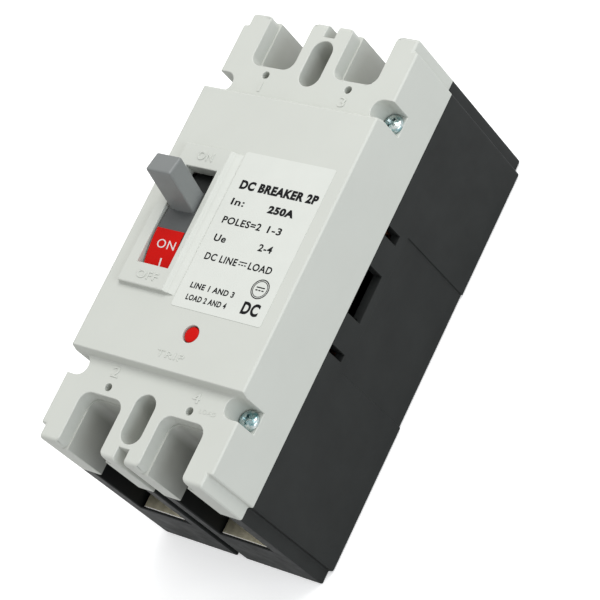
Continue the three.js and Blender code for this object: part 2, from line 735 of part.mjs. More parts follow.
function makeTripBar() {
  const fingers = POLE_SIDES.map((side) => {
    const x = side * POLE_X;
    const finger = block(x - 8, x + 8, TRIP_BAR_Y - 2, TRIP_BAR_Y + 0.5, 36, TRIP_BAR_Z);
    return finger.subtract(block(MECHANISM_X - 1.7, MECHANISM_X + 1.7, TRIP_BAR_Y - 3, TRIP_BAR_Y + 2, 35, 43.6));
  });
  const lug = block(BUTTON_X - 3, BUTTON_X + 3, TRIP_BAR_Y - 10, TRIP_BAR_Y, TRIP_BAR_Z, TRIP_BAR_Z + 2.6);
  return joinAll([
    discX(TRIP_BAR_Y, TRIP_BAR_Z, TRIP_BAR_RADIUS, -ROTOR_HALF_LENGTH, ROTOR_HALF_LENGTH, 16),
    discX(TRIP_BAR_Y, TRIP_BAR_Z, TRIP_TRUNNION_RADIUS, -TRUNNION_HALF_LENGTH, TRUNNION_HALF_LENGTH, 12),
    lug,
    ...fingers,
  ]);
}

// ---------------------------------------------------------------- mechanism

const PLATE_INNER = 10.6;
const PLATE_OUTER = 12;
const YOKE_INNER = 12.6;
const YOKE_OUTER = 14.2;
const YOKE_RADIUS = 34.6;

function makeMechanismPlate(side) {
  const profile = outline([
    [-23, FLOOR_Z],
    [-17.8, FLOOR_Z],
    [-17.8, 28.5],
    [3.5, 28.5],
    [3.5, FLOOR_Z],
    [13, FLOOR_Z],
    [15, 44],
    [19, 50],
    [18, 59],
    [10, 62],
    [-14, 62],
    [-20, 56],
    [-23, 40],
  ]);
  const x0 = Math.min(side * PLATE_INNER, side * PLATE_OUTER);
  const x1 = Math.max(side * PLATE_INNER, side * PLATE_OUTER);
  const plate = prismX(profile, MECHANISM_X + x0, MECHANISM_X + x1);
  const stubEnd = side * (YOKE_OUTER + 0.4);
  const stub = discX(PIVOT_Y, PIVOT_Z, 2, MECHANISM_X + Math.min(side * PLATE_INNER, stubEnd),
    MECHANISM_X + Math.max(side * PLATE_INNER, stubEnd), 14);
  const pinHole = discX(...CRADLE_PIVOT, 2.1, MECHANISM_X + x0 - OVER, MECHANISM_X + x1 + OVER, 14);
  return plate.add(stub).subtract(pinHole);
}

// The knee pin swings through an arc slot in the cradle, centred on the upper link's pivot.
function kneeSlot() {
  const radius = Math.hypot(KNEE[0] - UPPER_PIVOT[0], KNEE[1] - UPPER_PIVOT[1]);
  const half = LINK_PIN_RADIUS + GAP + 0.05;
  const [start, stop, steps] = [THREE.MathUtils.degToRad(-35), THREE.MathUtils.degToRad(33), 12];
  const at = (reach, step) => {
    const angle = start + (stop - start) * step / steps;
    return [UPPER_PIVOT[0] + reach * Math.cos(angle), UPPER_PIVOT[1] + reach * Math.sin(angle)];
  };
  const points = [];
  for (let step = 0; step <= steps; step += 1) {
    points.push(at(radius + half, step));
  }
  for (let step = steps; step >= 0; step -= 1) {
    points.push(at(radius - half, step));
  }
  return prismX(outline(points), MECHANISM_X - 2, MECHANISM_X + 2);
}

function makeCradle() {
  const profile = outline([
    [-28.3, 40.6],
    [-25.4, 40.2],
    [-18, 44.2],
    [-8, 45.5],
    [2, 47],
    [14, 49.4],
    [17.4, 52],
    [17.4, 58],
    [14, 61.4],
    [0, 61.4],
    [-8, 57.5],
    [-16, 54],
    [-22, 49.5],
    [-24, 43.2],
    [-28.3, 43.2],
  ]);
  const plate = prismX(profile, MECHANISM_X - 1.25, MECHANISM_X + 1.25);
  const pinReach = PLATE_OUTER + 0.3;
  const pin = discX(...CRADLE_PIVOT, 1.8, MECHANISM_X - pinReach, MECHANISM_X + pinReach, 14);
  const linkHole = discX(...UPPER_PIVOT, LINK_PIN_RADIUS + GAP, MECHANISM_X - 2, MECHANISM_X + 2, 14);
  return plate.add(pin).subtract(linkHole).subtract(kneeSlot());
}

// A flat bar with round ends between two pivots, drawn in Y and Z.
function linkShape(from, to, radius) {
  const angle = Math.atan2(to[1] - from[1], to[0] - from[0]);
  const shape = new THREE.Shape();
  shape.absarc(from[0], from[1], radius, angle + Math.PI / 2, angle + 1.5 * Math.PI, false);
  shape.absarc(to[0], to[1], radius, angle - Math.PI / 2, angle + Math.PI / 2, false);
  shape.closePath();
  return shape;
}

// Two equal bars on one pin, with a hole for the knee pin.
function makeFork(pivot, radius, inner, outer, kneeHole) {
  const bars = POLE_SIDES.map((side) => {
    const x0 = MECHANISM_X + Math.min(side * inner, side * outer);
    const x1 = MECHANISM_X + Math.max(side * inner, side * outer);
    return prismX(linkShape(pivot, KNEE, radius), x0, x1, 6);
  });
  const pin = discX(...pivot, LINK_PIN_RADIUS, MECHANISM_X - outer, MECHANISM_X + outer, 14);
  const hole = discX(...KNEE, kneeHole, MECHANISM_X - outer - OVER, MECHANISM_X + outer + OVER, 16);
  return joinAll([...bars, pin]).subtract(hole);
}

function makeUpperLink() {
  return makeFork(UPPER_PIVOT, 3.2, 1.7, 3.2, LINK_PIN_RADIUS + GAP);
}

function makeLowerLink() {
  return makeFork(ROTOR_LUG, 3.8, 4.2, 5.8, KNEE_HOLE_RADIUS);
}

function makeKneePin() {
  return discX(...KNEE, LINK_PIN_RADIUS, MECHANISM_X - 10.2, MECHANISM_X + 10.2, 14);
}

function makeMainSpring(side) {
  const x = MECHANISM_X + side * 8.2;
  const top = YOKE_RADIUS - 2.6;
  const from = [x, KNEE[0], KNEE[1] + 2.6];
  const to = [x, PIVOT_Y + top * Math.sin(HANDLE_TILT), PIVOT_Z + top * Math.cos(HANDLE_TILT)];
  return coil(from, to, 1.6, 0.4, 7);
}

// ---------------------------------------------------------------- handle

// A point at a radius and an angle from the vertical through the handle pivot, towards +Y.
function polar(radius, angle) {
  return [PIVOT_Y + radius * Math.sin(angle), PIVOT_Z + radius * Math.cos(angle)];
}

function arcBand(inner, outer, angle0, angle1, steps) {
  const points = [];
  for (let step = 0; step <= steps; step += 1) {
    points.push(polar(outer, angle0 + (angle1 - angle0) * step / steps));
  }
  for (let step = steps; step >= 0; step -= 1) {
    points.push(polar(inner, angle0 + (angle1 - angle0) * step / steps));
  }
  return outline(points.reverse());
}

// A bar along the tilted handle axis, between two radii.
function tiltedBar(x0, x1, halfThickness, radius0, radius1) {
  const [sine, cosine] = [Math.sin(HANDLE_TILT), Math.cos(HANDLE_TILT)];
  const corner = (radius, offset) => [
    PIVOT_Y + radius * sine + offset * cosine,
    PIVOT_Z + radius * cosine - offset * sine,
  ];
  return prismX(outline([
    corner(radius0, -halfThickness),
    corner(radius0, halfThickness),
    corner(radius1, halfThickness),
    corner(radius1, -halfThickness),
  ]), x0, x1);
}

function makeHandle() {
  const stem = tiltedBar(HANDLE_X - HANDLE_HALF_WIDTH, HANDLE_X + HANDLE_HALF_WIDTH, HANDLE_HALF_THICKNESS,
    HANDLE_ROOT_RADIUS, HANDLE_TIP_RADIUS);
  const band = arcBand(SHIELD_INNER_RADIUS, SHIELD_OUTER_RADIUS, SHIELD_BACK_ANGLE, SHIELD_FRONT_ANGLE, 28);
  const shield = prismX(band, SHIELD_X - SHIELD_HALF_WIDTH, SHIELD_X + SHIELD_HALF_WIDTH);
  return stem.add(shield);
}

function makeFlag() {
  const inner = SHIELD_OUTER_RADIUS + 0.05;
  const band = arcBand(inner, inner + FLAG_THICKNESS, SHIELD_BACK_ANGLE, FLAG_FRONT_ANGLE, 7);
  return prismX(band, SHIELD_X - SHIELD_HALF_WIDTH + GAP, SHIELD_X + SHIELD_HALF_WIDTH - GAP);
}

function makeHandleYoke() {
  const legs = POLE_SIDES.map((side) => {
    const x0 = MECHANISM_X + Math.min(side * YOKE_INNER, side * YOKE_OUTER);
    const x1 = MECHANISM_X + Math.max(side * YOKE_INNER, side * YOKE_OUTER);
    const leg = tiltedBar(x0, x1, 4.2, 0, YOKE_RADIUS);
    return leg.add(discX(PIVOT_Y, PIVOT_Z, 4.2, x0, x1, 20));
  });
  const bridge = tiltedBar(MECHANISM_X - YOKE_OUTER, MECHANISM_X + YOKE_OUTER, 4.2, YOKE_RADIUS - 1.6, YOKE_RADIUS);
  const hole = discX(PIVOT_Y, PIVOT_Z, 2.3, MECHANISM_X - 20, MECHANISM_X + 20, 14);
  return joinAll([...legs, bridge]).subtract(hole);
}

// ---------------------------------------------------------------- trip button

function makeTripButton() {
  return joinAll([
    discZ(BUTTON_X, BUTTON_Y, BUTTON_HEAD_RADIUS, BUTTON_FLANGE_Z, BUTTON_TOP_Z, 24),
    discZ(BUTTON_X, BUTTON_Y, BUTTON_FLANGE_RADIUS, BUTTON_FLANGE_Z, BOSS_CEILING_Z - GAP, 20),
    discZ(BUTTON_X, BUTTON_Y, BUTTON_STEM_RADIUS, BUTTON_TIP_Z, BUTTON_FLANGE_Z + OVER, 12),
  ]);
}

function makeButtonRetainer() {
  const ring = discZ(BUTTON_X, BUTTON_Y, BOSS_BORE_RADIUS - GAP, BOSS_BOTTOM_Z, BOSS_BOTTOM_Z + 2, 20);
  return ring.subtract(discZ(BUTTON_X, BUTTON_Y, BUTTON_STEM_RADIUS + GAP, BOSS_BOTTOM_Z - OVER,
    BOSS_BOTTOM_Z + 3, 12));
}

function makeButtonSpring() {
  const from = [BUTTON_X, BUTTON_Y, BOSS_BOTTOM_Z + 2.8];
  const to = [BUTTON_X, BUTTON_Y, BUTTON_FLANGE_Z - 0.8];
  return coil(from, to, 2.8, 0.35, 5);
}

// ---------------------------------------------------------------- assembly

const LINE_END = 1;
const LOAD_END = -1;
const LINE_FOOT_Z = FLOOR_Z;
const LOAD_FOOT_Z = FLOOR_Z + 2;

addNode("base", makeBase(), materials.blackPlastic);
addNode("front_cover", makeCover(), materials.lightPlastic);
addNode("rating_label", makeLabel(), materials.label);

let corner = 1;
for (const end of [LINE_END, LOAD_END]) {
  for (const side of POLE_SIDES) {
    addNode(`cover_screw_${corner}`, makeCoverScrew(side, end), materials.zinc);
    corner += 1;
  }
}

POLE_SIDES.forEach((side, index) => {
  const line = 1 + 2 * index;
  const load = 2 + 2 * index;
  addNode(`line_terminal_${line}`, makeTerminal(side, LINE_END, LINE_FOOT_Z, 30), materials.platedCopper);
  addNode(`load_terminal_${load}`, makeTerminal(side, LOAD_END, LOAD_FOOT_Z, 27), materials.platedCopper);
  addNode(`terminal_nut_${line}`, makeNut(side, LINE_END), materials.zinc);
  addNode(`terminal_nut_${load}`, makeNut(side, LOAD_END), materials.zinc);
  addNode(`fixed_contact_${line}`, makeFixedContact(side), materials.silver);
  addNode(`moving_arm_${line}`, makeMovingArm(side), materials.copper);
  addNode(`moving_contact_${line}`, makeMovingContact(side), materials.silver);
  addNode(`braid_${line}`, makeBraid(side), materials.copper);
  addNode(`arc_chute_${line}`, makeChuteFrame(side), materials.fibre);
  for (let plate = 0; plate < ARC_PLATE_COUNT; plate += 1) {
    addNode(`arc_plate_${line}_${plate + 1}`, makeArcPlate(side, plate), materials.steel);
  }
  addNode(`bimetal_${line}`, makeBimetal(side), materials.steel);
  addNode(`magnet_yoke_${line}`, makeMagnetYoke(side), materials.steel);
  addNode(`armature_${line}`, makeArmature(side), materials.steel);
});

addNode("crossbar", makeCrossbar(), materials.crossbarPlastic);
addNode("trip_bar", makeTripBar(), materials.crossbarPlastic);
addNode("mechanism_plate_left", makeMechanismPlate(-1), materials.steel);
addNode("mechanism_plate_right", makeMechanismPlate(1), materials.steel);
addNode("cradle", makeCradle(), materials.steel);
addNode("upper_link", makeUpperLink(), materials.steel);
addNode("lower_link", makeLowerLink(), materials.steel);
addNode("knee_pin", makeKneePin(), materials.steel);
addNode("main_spring_left", makeMainSpring(-1), materials.steel);
addNode("main_spring_right", makeMainSpring(1), materials.steel);
addNode("handle_yoke", makeHandleYoke(), materials.steel);
addNode("handle", makeHandle(), materials.greyPlastic);
addNode("handle_flag", makeFlag(), materials.redPlastic);
addNode("trip_button", makeTripButton(), materials.redPlastic);
addNode("button_retainer", makeButtonRetainer(), materials.blackPlastic);
addNode("button_spring", makeButtonSpring(), materials.steel);

export default group;
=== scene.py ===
"""Two-pole DC moulded-case circuit breaker: the surfaces, print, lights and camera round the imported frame.

Lengths in this file are millimetres unless a name says otherwise; Blender itself works in metres.
X runs across the poles, Y from the load end to the line end, and Z out of the front.
"""

import json
import math

import bmesh
import bpy
from mathutils import Matrix, Vector


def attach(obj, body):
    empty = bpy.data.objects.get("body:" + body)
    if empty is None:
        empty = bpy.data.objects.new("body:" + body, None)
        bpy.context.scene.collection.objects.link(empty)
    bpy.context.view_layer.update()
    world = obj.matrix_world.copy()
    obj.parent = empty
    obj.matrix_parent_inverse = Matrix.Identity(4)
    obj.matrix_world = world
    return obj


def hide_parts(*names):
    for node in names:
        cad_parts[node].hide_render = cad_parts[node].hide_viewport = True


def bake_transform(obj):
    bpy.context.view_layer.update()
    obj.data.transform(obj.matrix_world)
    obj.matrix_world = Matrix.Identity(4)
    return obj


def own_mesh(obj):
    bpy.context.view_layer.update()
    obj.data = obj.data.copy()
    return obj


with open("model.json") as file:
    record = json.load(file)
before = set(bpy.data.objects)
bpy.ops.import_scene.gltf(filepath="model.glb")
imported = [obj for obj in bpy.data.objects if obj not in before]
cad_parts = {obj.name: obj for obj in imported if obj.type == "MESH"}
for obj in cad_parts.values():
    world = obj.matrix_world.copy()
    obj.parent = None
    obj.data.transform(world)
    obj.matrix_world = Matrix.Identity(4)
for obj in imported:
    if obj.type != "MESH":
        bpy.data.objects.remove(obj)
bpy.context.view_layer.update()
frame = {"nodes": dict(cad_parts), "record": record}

MM = 0.001

# ---------------------------------------------------------------- driving dimensions

HALF_LENGTH = 82.5
HALF_WIDTH = 37.5
BODY_HALF_LENGTH = 77.5
NOSE_HALF_WIDTH = 35.5
SEAM_Z = 54.2
SHOULDER_Z = 80.0
PLATEAU_Z = 84.0
PLATEAU_HALF_LENGTH = 51.0
ESCUTCHEON_Z = 86.0
OPENING_X = (-26.2, -12.4)
OPENING_Y = (-17.5, 19.6)
STEP_FILLET = 0.9
END_ROUND = 1.6
POLE_X = 17.75
PROBE_Y = 59.8
PROBE_REACH = 1.6
SCREW_X = 33.8
SCREW_Y = 54.8
SCREW_SEAT_Z = 70.0
SCREW_POCKET_HALF = 4.0
LEDGE_Z = 74.4
WINDOW_BACK_Y = 63.0
POCKET_X = (6.5, 29.5)
POCKET_LOW_Z = 18.0
BAR_LOW_Z = 20.0
BAR_END_Y = 81.7
PAD_TOP_Z = 25.0
BUTTON_PLACE = (7.3, -36.3, 0)

# The handle turns about this (Y, Z), and its parts are told apart by their distance from it.
HANDLE_PIVOT = (-3.1, 36.0)
SHIELD_EDGE_REACH = 48.9
STEM_REACH = 49.4
SHIELD_REACH = 49.5
FLAG_RADIUS = 49.6
REAR_SHIELD_ANGLE = math.radians(15)

LABEL_TOP = 84.14
PRINT_SINK = 0.02
MARK_SINK = 0.05

# Rounding radii of the edges.
BODY_ROUND = 0.9
NOSE_ROUND = 1.0
SEAM_ROUND = 0.35
MOUTH_ROUND = 0.4
PLATEAU_END_ROUND = 0.7
ESCUTCHEON_ROUND = 0.45
ESCUTCHEON_FOOT_ROUND = 0.25
OPENING_ROUND = 0.3
RECESS_ROUND = 0.22
SCREW_POCKET_ROUND = 0.3
SCREW_MOUTH_ROUND = 0.35
SIDE_RECESS_ROUND = 0.2
SHIELD_ROUND = 0.2
STEM_ROUND = 0.75
FLAG_ROUND = 0.1
LABEL_ROUND = 0.06
BRAID_ROUND = 0.45
BAR_ROUND = 0.15
SHEARED_ROUND = 0.4

# Two measures closer than this are the same place.
NEAR = 0.05

# ---------------------------------------------------------------- materials

NOISE_RANGE = (0.3, 0.7)


def node_tree(name):
    """A new material with its Principled shader and an object-space coordinate node."""
    material = bpy.data.materials.new(name)
    material.use_nodes = True
    tree = material.node_tree
    shader = tree.nodes["Principled BSDF"]
    coordinates = tree.nodes.new("ShaderNodeTexCoord")
    return material, tree, shader, coordinates.outputs["Object"]


def map_range(tree, value, start, end, low, high):
    """Maps a value that goes from start to end to the range low-high, and stops at both ends."""
    node = tree.nodes.new("ShaderNodeMapRange")
    for socket, number in (("From Min", start), ("From Max", end), ("To Min", low), ("To Max", high)):
        node.inputs[socket].default_value = number
    tree.links.new(value, node.inputs["Value"])
    return node.outputs["Result"]


def scaled(tree, colours, amount):
    """Multiplies a colour by a number from another node."""
    node = tree.nodes.new("ShaderNodeVectorMath")
    node.operation = "SCALE"
    tree.links.new(colours, node.inputs["Vector"])
    tree.links.new(amount, node.inputs["Scale"])
    return node.outputs["Vector"]


def noise(tree, vector, scale, detail=2.0, roughness=0.5, stretch=None):
    """A noise texture, in features per metre, optionally stretched along one axis."""
    if stretch is not None:
        mapping = tree.nodes.new("ShaderNodeMapping")
        mapping.inputs["Scale"].default_value = stretch
        tree.links.new(vector, mapping.inputs["Vector"])
        vector = mapping.outputs["Vector"]
    texture = tree.nodes.new("ShaderNodeTexNoise")
    texture.inputs["Scale"].default_value = scale
    texture.inputs["Detail"].default_value = detail
    texture.inputs["Roughness"].default_value = roughness
    tree.links.new(vector, texture.inputs["Vector"])
    return texture.outputs["Fac"]


def ramp(tree, factor, low, high, colour_low, colour_high):
    """Blends from one colour to the other as the factor goes from low to high."""
    node = tree.nodes.new("ShaderNodeValToRGB")
    node.color_ramp.elements[0].position = low
    node.color_ramp.elements[1].position = high
    node.color_ramp.elements[0].color = (*colour_low, 1)
    node.color_ramp.elements[1].color = (*colour_high, 1)
    tree.links.new(factor, node.inputs["Fac"])
    return node.outputs["Color"]


def mottle(tree, factor, colour_low, colour_high):
    """Blends two colours over the usual range of a noise factor."""
    return ramp(tree, factor, *NOISE_RANGE, colour_low, colour_high)


def spread(tree, factor, low, high):
    """Maps the usual range of a noise factor to the range low-high."""
    return map_range(tree, factor, *NOISE_RANGE, low, high)


def bump(tree, height, strength, distance, below=None):
    """Turns a height into a normal, on top of the normal below."""
    node = tree.nodes.new("ShaderNodeBump")
    node.inputs["Strength"].default_value = strength
    node.inputs["Distance"].default_value = distance * MM
    tree.links.new(height, node.inputs["Height"])
    if below is not None:
        tree.links.new(below, node.inputs["Normal"])
    return node.outputs["Normal"]


def shade(colour, amount):
    """The colour made lighter or darker by a factor."""
    return tuple(channel * amount for channel in colour)


def fade_with_depth(tree, place, colours, deep, shallow, least):
    """Multiplies a colour by least at the height deep, rising to one at the height shallow: painted shade in
    recesses.
    """
    split = tree.nodes.new("ShaderNodeSeparateXYZ")
    tree.links.new(place, split.inputs["Vector"])
    return scaled(tree, colours, map_range(tree, split.outputs["Z"], deep * MM, shallow * MM, least, 1.0))


def plastic(name, colour, roughness, grain=0.03, specular=0.5, variation=0.04, fade=None):
    """Moulded plastic: spark-eroded grain, a faint flow mottle, uneven gloss, and, where fade is given,
    painted shade that darkens the colour deep in recesses.
    """
    material, tree, shader, place = node_tree(name)
    flow = noise(tree, place, 55, detail=3)
    colours = mottle(tree, flow, shade(colour, 1 - variation), shade(colour, 1 + variation))
    if fade is not None:
        colours = fade_with_depth(tree, place, colours, *fade)
    tree.links.new(colours, shader.inputs["Base Color"])
    gloss = noise(tree, place, 210, detail=2)
    tree.links.new(spread(tree, gloss, roughness - 0.05, roughness + 0.05), shader.inputs["Roughness"])
    waves = bump(tree, noise(tree, place, 90), 0.12, 0.15)
    fine = noise(tree, place, 5200, detail=1)
    tree.links.new(bump(tree, fine, 0.25, grain, waves), shader.inputs["Normal"])
    shader.inputs["Specular IOR Level"].default_value = specular
    return material


def metal(name, colour, other, roughness, brush=(1, 1, 1), scale=700, scratch=0.02, patch=260):
    """Plated or rolled metal: patchy tint, brushed grain and uneven gloss."""
    material, tree, shader, place = node_tree(name)
    patches = noise(tree, place, patch, detail=4, roughness=0.6)
    tree.links.new(ramp(tree, patches, 0.35, 0.65, colour, other), shader.inputs["Base Color"])
    grain = noise(tree, place, scale, detail=3, roughness=0.65, stretch=brush)
    tree.links.new(spread(tree, grain, roughness - 0.07, roughness + 0.12), shader.inputs["Roughness"])
    tree.links.new(bump(tree, grain, 0.35, scratch), shader.inputs["Normal"])
    shader.inputs["Metallic"].default_value = 1.0
    return material


def woven(name, colour, other):
    """Copper braid: two crossed waves give the plaited strands."""
    material, tree, shader, place = node_tree(name)
    heights = []
    for tilt in (0.7, -0.7):
        mapping = tree.nodes.new("ShaderNodeMapping")
        mapping.inputs["Rotation"].default_value = (tilt, 0, tilt)
        tree.links.new(place, mapping.inputs["Vector"])
        wave = tree.nodes.new("ShaderNodeTexWave")
        wave.inputs["Scale"].default_value = 420
        tree.links.new(mapping.outputs["Vector"], wave.inputs["Vector"])
        heights.append(wave.outputs["Fac"])
    top = tree.nodes.new("ShaderNodeMath")
    top.operation = "MAXIMUM"
    tree.links.new(heights[0], top.inputs[0])
    tree.links.new(heights[1], top.inputs[1])
    tree.links.new(ramp(tree, top.outputs[0], 0.3, 0.9, other, colour), shader.inputs["Base Color"])
    tree.links.new(bump(tree, top.outputs[0], 0.8, 0.2), shader.inputs["Normal"])
    shader.inputs["Metallic"].default_value = 1.0
    shader.inputs["Roughness"].default_value = 0.42
    return material


def fibre(name, colour, other):
    """Vulcanised fibre board: long pressed fibres and a dull face."""
    material, tree, shader, place = node_tree(name)
    strands = noise(tree, place, 900, detail=5, roughness=0.7, stretch=(1, 1, 0.15))
    tree.links.new(mottle(tree, strands, colour, other), shader.inputs["Base Color"])
    tree.links.new(bump(tree, strands, 0.5, 0.05), shader.inputs["Normal"])
    shader.inputs["Roughness"].default_value = 0.8
    return material


def film(name, colour):
    """Printed polyester label: smooth, faintly mottled, with a soft sheen."""
    material, tree, shader, place = node_tree(name)
    cloud = noise(tree, place, 140, detail=4)
    colours = mottle(tree, cloud, shade(colour, 0.985), shade(colour, 1.01))
    tree.links.new(colours, shader.inputs["Base Color"])
    tree.links.new(spread(tree, noise(tree, place, 500), 0.42, 0.52), shader.inputs["Roughness"])
    tree.links.new(bump(tree, noise(tree, place, 1600), 0.1, 0.02), shader.inputs["Normal"])
    return material


LIGHT_GREY = (0.530, 0.545, 0.505)

SLOT_MATERIALS = {
    "light_plastic": plastic("light_plastic", LIGHT_GREY, 0.46, variation=0.012),
    "black_plastic": plastic("black_plastic", (0.0205, 0.0222, 0.0215), 0.40, specular=0.14, variation=0.12),
    "grey_plastic": plastic("grey_plastic", (0.180, 0.190, 0.188), 0.42, variation=0.03),
    "red_plastic": plastic("red_plastic", (0.52, 0.004, 0.002), 0.36, specular=0.1, variation=0.04),
    "brown_plastic": plastic("brown_plastic", (0.16, 0.052, 0.026), 0.5, variation=0.15),
    "label": film("label", (0.605, 0.622, 0.583)),
    "plated_copper": metal("plated_copper", (0.88, 0.82, 0.61), (0.96, 0.90, 0.69), 0.42,
                           brush=(1, 0.12, 1)),
    "bare_copper": metal("bare_copper", (0.72, 0.33, 0.18), (0.80, 0.40, 0.23), 0.32, brush=(1, 0.15, 1)),
    "silver_contact": metal("silver_contact", (0.76, 0.75, 0.72), (0.84, 0.83, 0.80), 0.28),
    # The zinc screws' patches run from a teal tint to near white: partly the blue passivation of the plating,
    # partly painted reflection.
    "zinc_steel": metal("zinc_steel", (0.19, 0.38, 0.41), (0.88, 0.90, 0.88), 0.22, scale=1500, scratch=0.05,
                        patch=520),
    "plain_steel": metal("plain_steel", (0.42, 0.42, 0.43), (0.52, 0.52, 0.52), 0.36, brush=(1, 0.2, 1)),
    "fibre_board": fibre("fibre_board", (0.30, 0.10, 0.045), (0.38, 0.15, 0.07)),
}
# Painted shade: at the first height the colour is down to the last number, and at the second one it is whole.
SHADED_LOAD_END = plastic("light_plastic_load_end_painted_shade", LIGHT_GREY, 0.5, variation=0.03, fade=(57, 82, 0.5))
SHADED_LINE_END = plastic("light_plastic_line_end_painted_shade", LIGHT_GREY, 0.5, variation=0.03, fade=(57, 82, 0.9))
# A darker copy of the black plastic for the walls deep in the terminal pockets: painted shade.
SHADED_BLACK = plastic("black_plastic_painted_shade", (0.008, 0.0085, 0.0085), 0.45, specular=0.1, variation=0.1)
# A darker grey for the shield strip between the stem and the flag: a painted shadow of the stem.
SHIELD_PAINTED_SHADOW = plastic("shield_grey_painted_shadow", (0.075, 0.080, 0.080), 0.42, variation=0.05)
# A near-white metal for the rounded end edge of the terminal bars: a painted highlight.
EDGE_PAINTED_HIGHLIGHT = metal("bar_edge_painted_highlight", (0.90, 0.89, 0.85), (0.97, 0.96, 0.92), 0.22)
BRAID = woven("copper_braid", (0.80, 0.40, 0.23), (0.36, 0.15, 0.08))
INK = plastic("black_ink", (0.006, 0.006, 0.007), 0.5, grain=0.01, specular=0.12, variation=0.1)
WHITE_INK = plastic("white_ink", (0.62, 0.60, 0.59), 0.5, grain=0.01, variation=0.02)


def finish_carried_nodes():
    """Gives every CAD node the procedural material of its slot."""
    for entry in frame["record"]["subparts"]:
        name = entry["node"]
        node = frame["nodes"][name]
        material = BRAID if name.startswith("braid") else SLOT_MATERIALS[entry["material_slot"]]
        node.data.materials.clear()
        node.data.materials.append(material)


# ---------------------------------------------------------------- mesh helpers

WELD = 1e-6
FLAT = math.radians(0.6)
SHARP = math.radians(24)


def add_object(name, data):
    """A new object in the scene, for a mesh, a curve, a light or a camera."""
    thing = bpy.data.objects.new(name, data)
    bpy.context.scene.collection.objects.link(thing)
    return thing


def object_from(name, shape):
    """Turns a bmesh into an object, and frees the bmesh."""
    mesh = bpy.data.meshes.new(name)
    shape.to_mesh(mesh)
    shape.free()
    return add_object(name, mesh)


def evaluated_mesh(thing):
    """A mesh of the object with its modifiers applied."""
    depsgraph = bpy.context.evaluated_depsgraph_get()
    return bpy.data.meshes.new_from_object(thing.evaluated_get(depsgraph))


def apply_modifiers(piece):
    made = evaluated_mesh(piece)
    piece.modifiers.clear()
    piece.data = made


def mesh_from_node(node):
    """The node's shape as clean flat faces, in a bmesh."""
    source = frame["nodes"][node].data
    mesh = bpy.data.meshes.new("source")
    mesh.from_pydata([v.co for v in source.vertices], [], [list(p.vertices) for p in source.polygons])
    shape = bmesh.new()
    shape.from_mesh(mesh)
    bpy.data.meshes.remove(mesh)
    bmesh.ops.remove_doubles(shape, verts=shape.verts, dist=WELD)
    bmesh.ops.dissolve_limit(shape, angle_limit=FLAT, verts=shape.verts, edges=shape.edges)
    return shape


def slice_across(shape, chosen, values):
    """Cuts the chosen faces along planes square to Y, so that a later move can bend them."""
    for value in values:
        faces = [face for face in shape.faces if chosen(face)]
        edges = dict.fromkeys(edge for face in faces for edge in face.edges)
        verts = dict.fromkeys(vert for face in faces for vert in face.verts)
        bmesh.ops.bisect_plane(shape, geom=[*verts, *edges, *faces], dist=WELD,
                               plane_co=(0, value * MM, 0), plane_no=(0, 1, 0))


def weigh_edges(shape, radius_at, largest):
    """Marks each sharp edge with its rounding radius, as a share of the largest one."""
    weights = shape.edges.layers.float.new("bevel_weight_edge")
    for edge in shape.edges:
        if len(edge.link_faces) != 2 or edge.calc_face_angle(0) < SHARP:
            continue
        a, b = (v.co / MM for v in edge.verts)
        edge[weights] = radius_at(a, b) / largest


def rounded(name, shape, radius_at, largest, segments=3):
    """Makes the object, with each sharp edge rounded by its own radius."""
    weigh_edges(shape, radius_at, largest)
    piece = object_from(name, shape)
    for polygon in piece.data.polygons:
        polygon.use_smooth = True
    bevel = piece.modifiers.new("edges", "BEVEL")
    bevel.limit_method = "WEIGHT"
    bevel.width = largest * MM
    bevel.segments = segments
    bevel.use_clamp_overlap = False
    bevel.offset_type = "OFFSET"
    apply_modifiers(piece)
    smooth(piece)
    return piece


def smooth(piece, angle=28):
    """Keeps creases over this many degrees sharp and shades the rest smooth."""
    for polygon in piece.data.polygons:
        polygon.use_smooth = True
    piece.data.set_sharp_from_angle(angle=math.radians(angle))
    weighted = piece.modifiers.new("normals", "WEIGHTED_NORMAL")
    weighted.keep_sharp = True
    weighted.weight = 60


def dress(piece, slot, body, *nodes, material=None):
    """Gives the piece its material, by default the one of its slot, attaches it to its body and hides the CAD
    nodes that it stands for; a bending piece has no one body.
    """
    piece.data.materials.clear()
    piece.data.materials.append(material or SLOT_MATERIALS[slot])
    if body is not None:
        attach(piece, body)
    if nodes:
        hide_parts(*nodes)


def circle(radius, steps=48):
    """The corners of a circle round the origin, as (x, y) pairs."""
    turns = [2 * math.pi * step / steps for step in range(steps)]
    return [(radius * math.cos(turn), radius * math.sin(turn)) for turn in turns]


def lathe(name, profile, place):
    """Turns a radius-height profile about Z at a place. A radius of zero closes it with one point."""
    shape = bmesh.new()
    loops = []
    for radius, height in profile:
        corners = circle(radius * MM) if radius else [(0, 0)]
        loops.append([shape.verts.new((x, y, height * MM)) for x, y in corners])
    steps = max(len(loop) for loop in loops)
    for lower, upper in zip(loops, loops[1:]):
        for step in range(steps):
            after = (step + 1) % steps
            corners = [lower[step % len(lower)], lower[after % len(lower)],
                       upper[after % len(upper)], upper[step % len(upper)]]
            unique = list(dict.fromkeys(corners))
            if len(unique) > 2:
                shape.faces.new(unique)
    bmesh.ops.translate(shape, verts=shape.verts, vec=Vector(place) * MM)
    bmesh.ops.recalc_face_normals(shape, faces=shape.faces)
    return object_from(name, shape)


def cut_away(piece, cutters):
    """Subtracts the cutters, which are then thrown away."""
    for cutter in cutters:
        boolean = piece.modifiers.new("cut", "BOOLEAN")
        boolean.operation = "DIFFERENCE"
        boolean.solver = "EXACT"
        boolean.object = cutter
    apply_modifiers(piece)
    for cutter in cutters:
        bpy.data.objects.remove(cutter)


# ---------------------------------------------------------------- lettering

PRINT_CREASE = 40


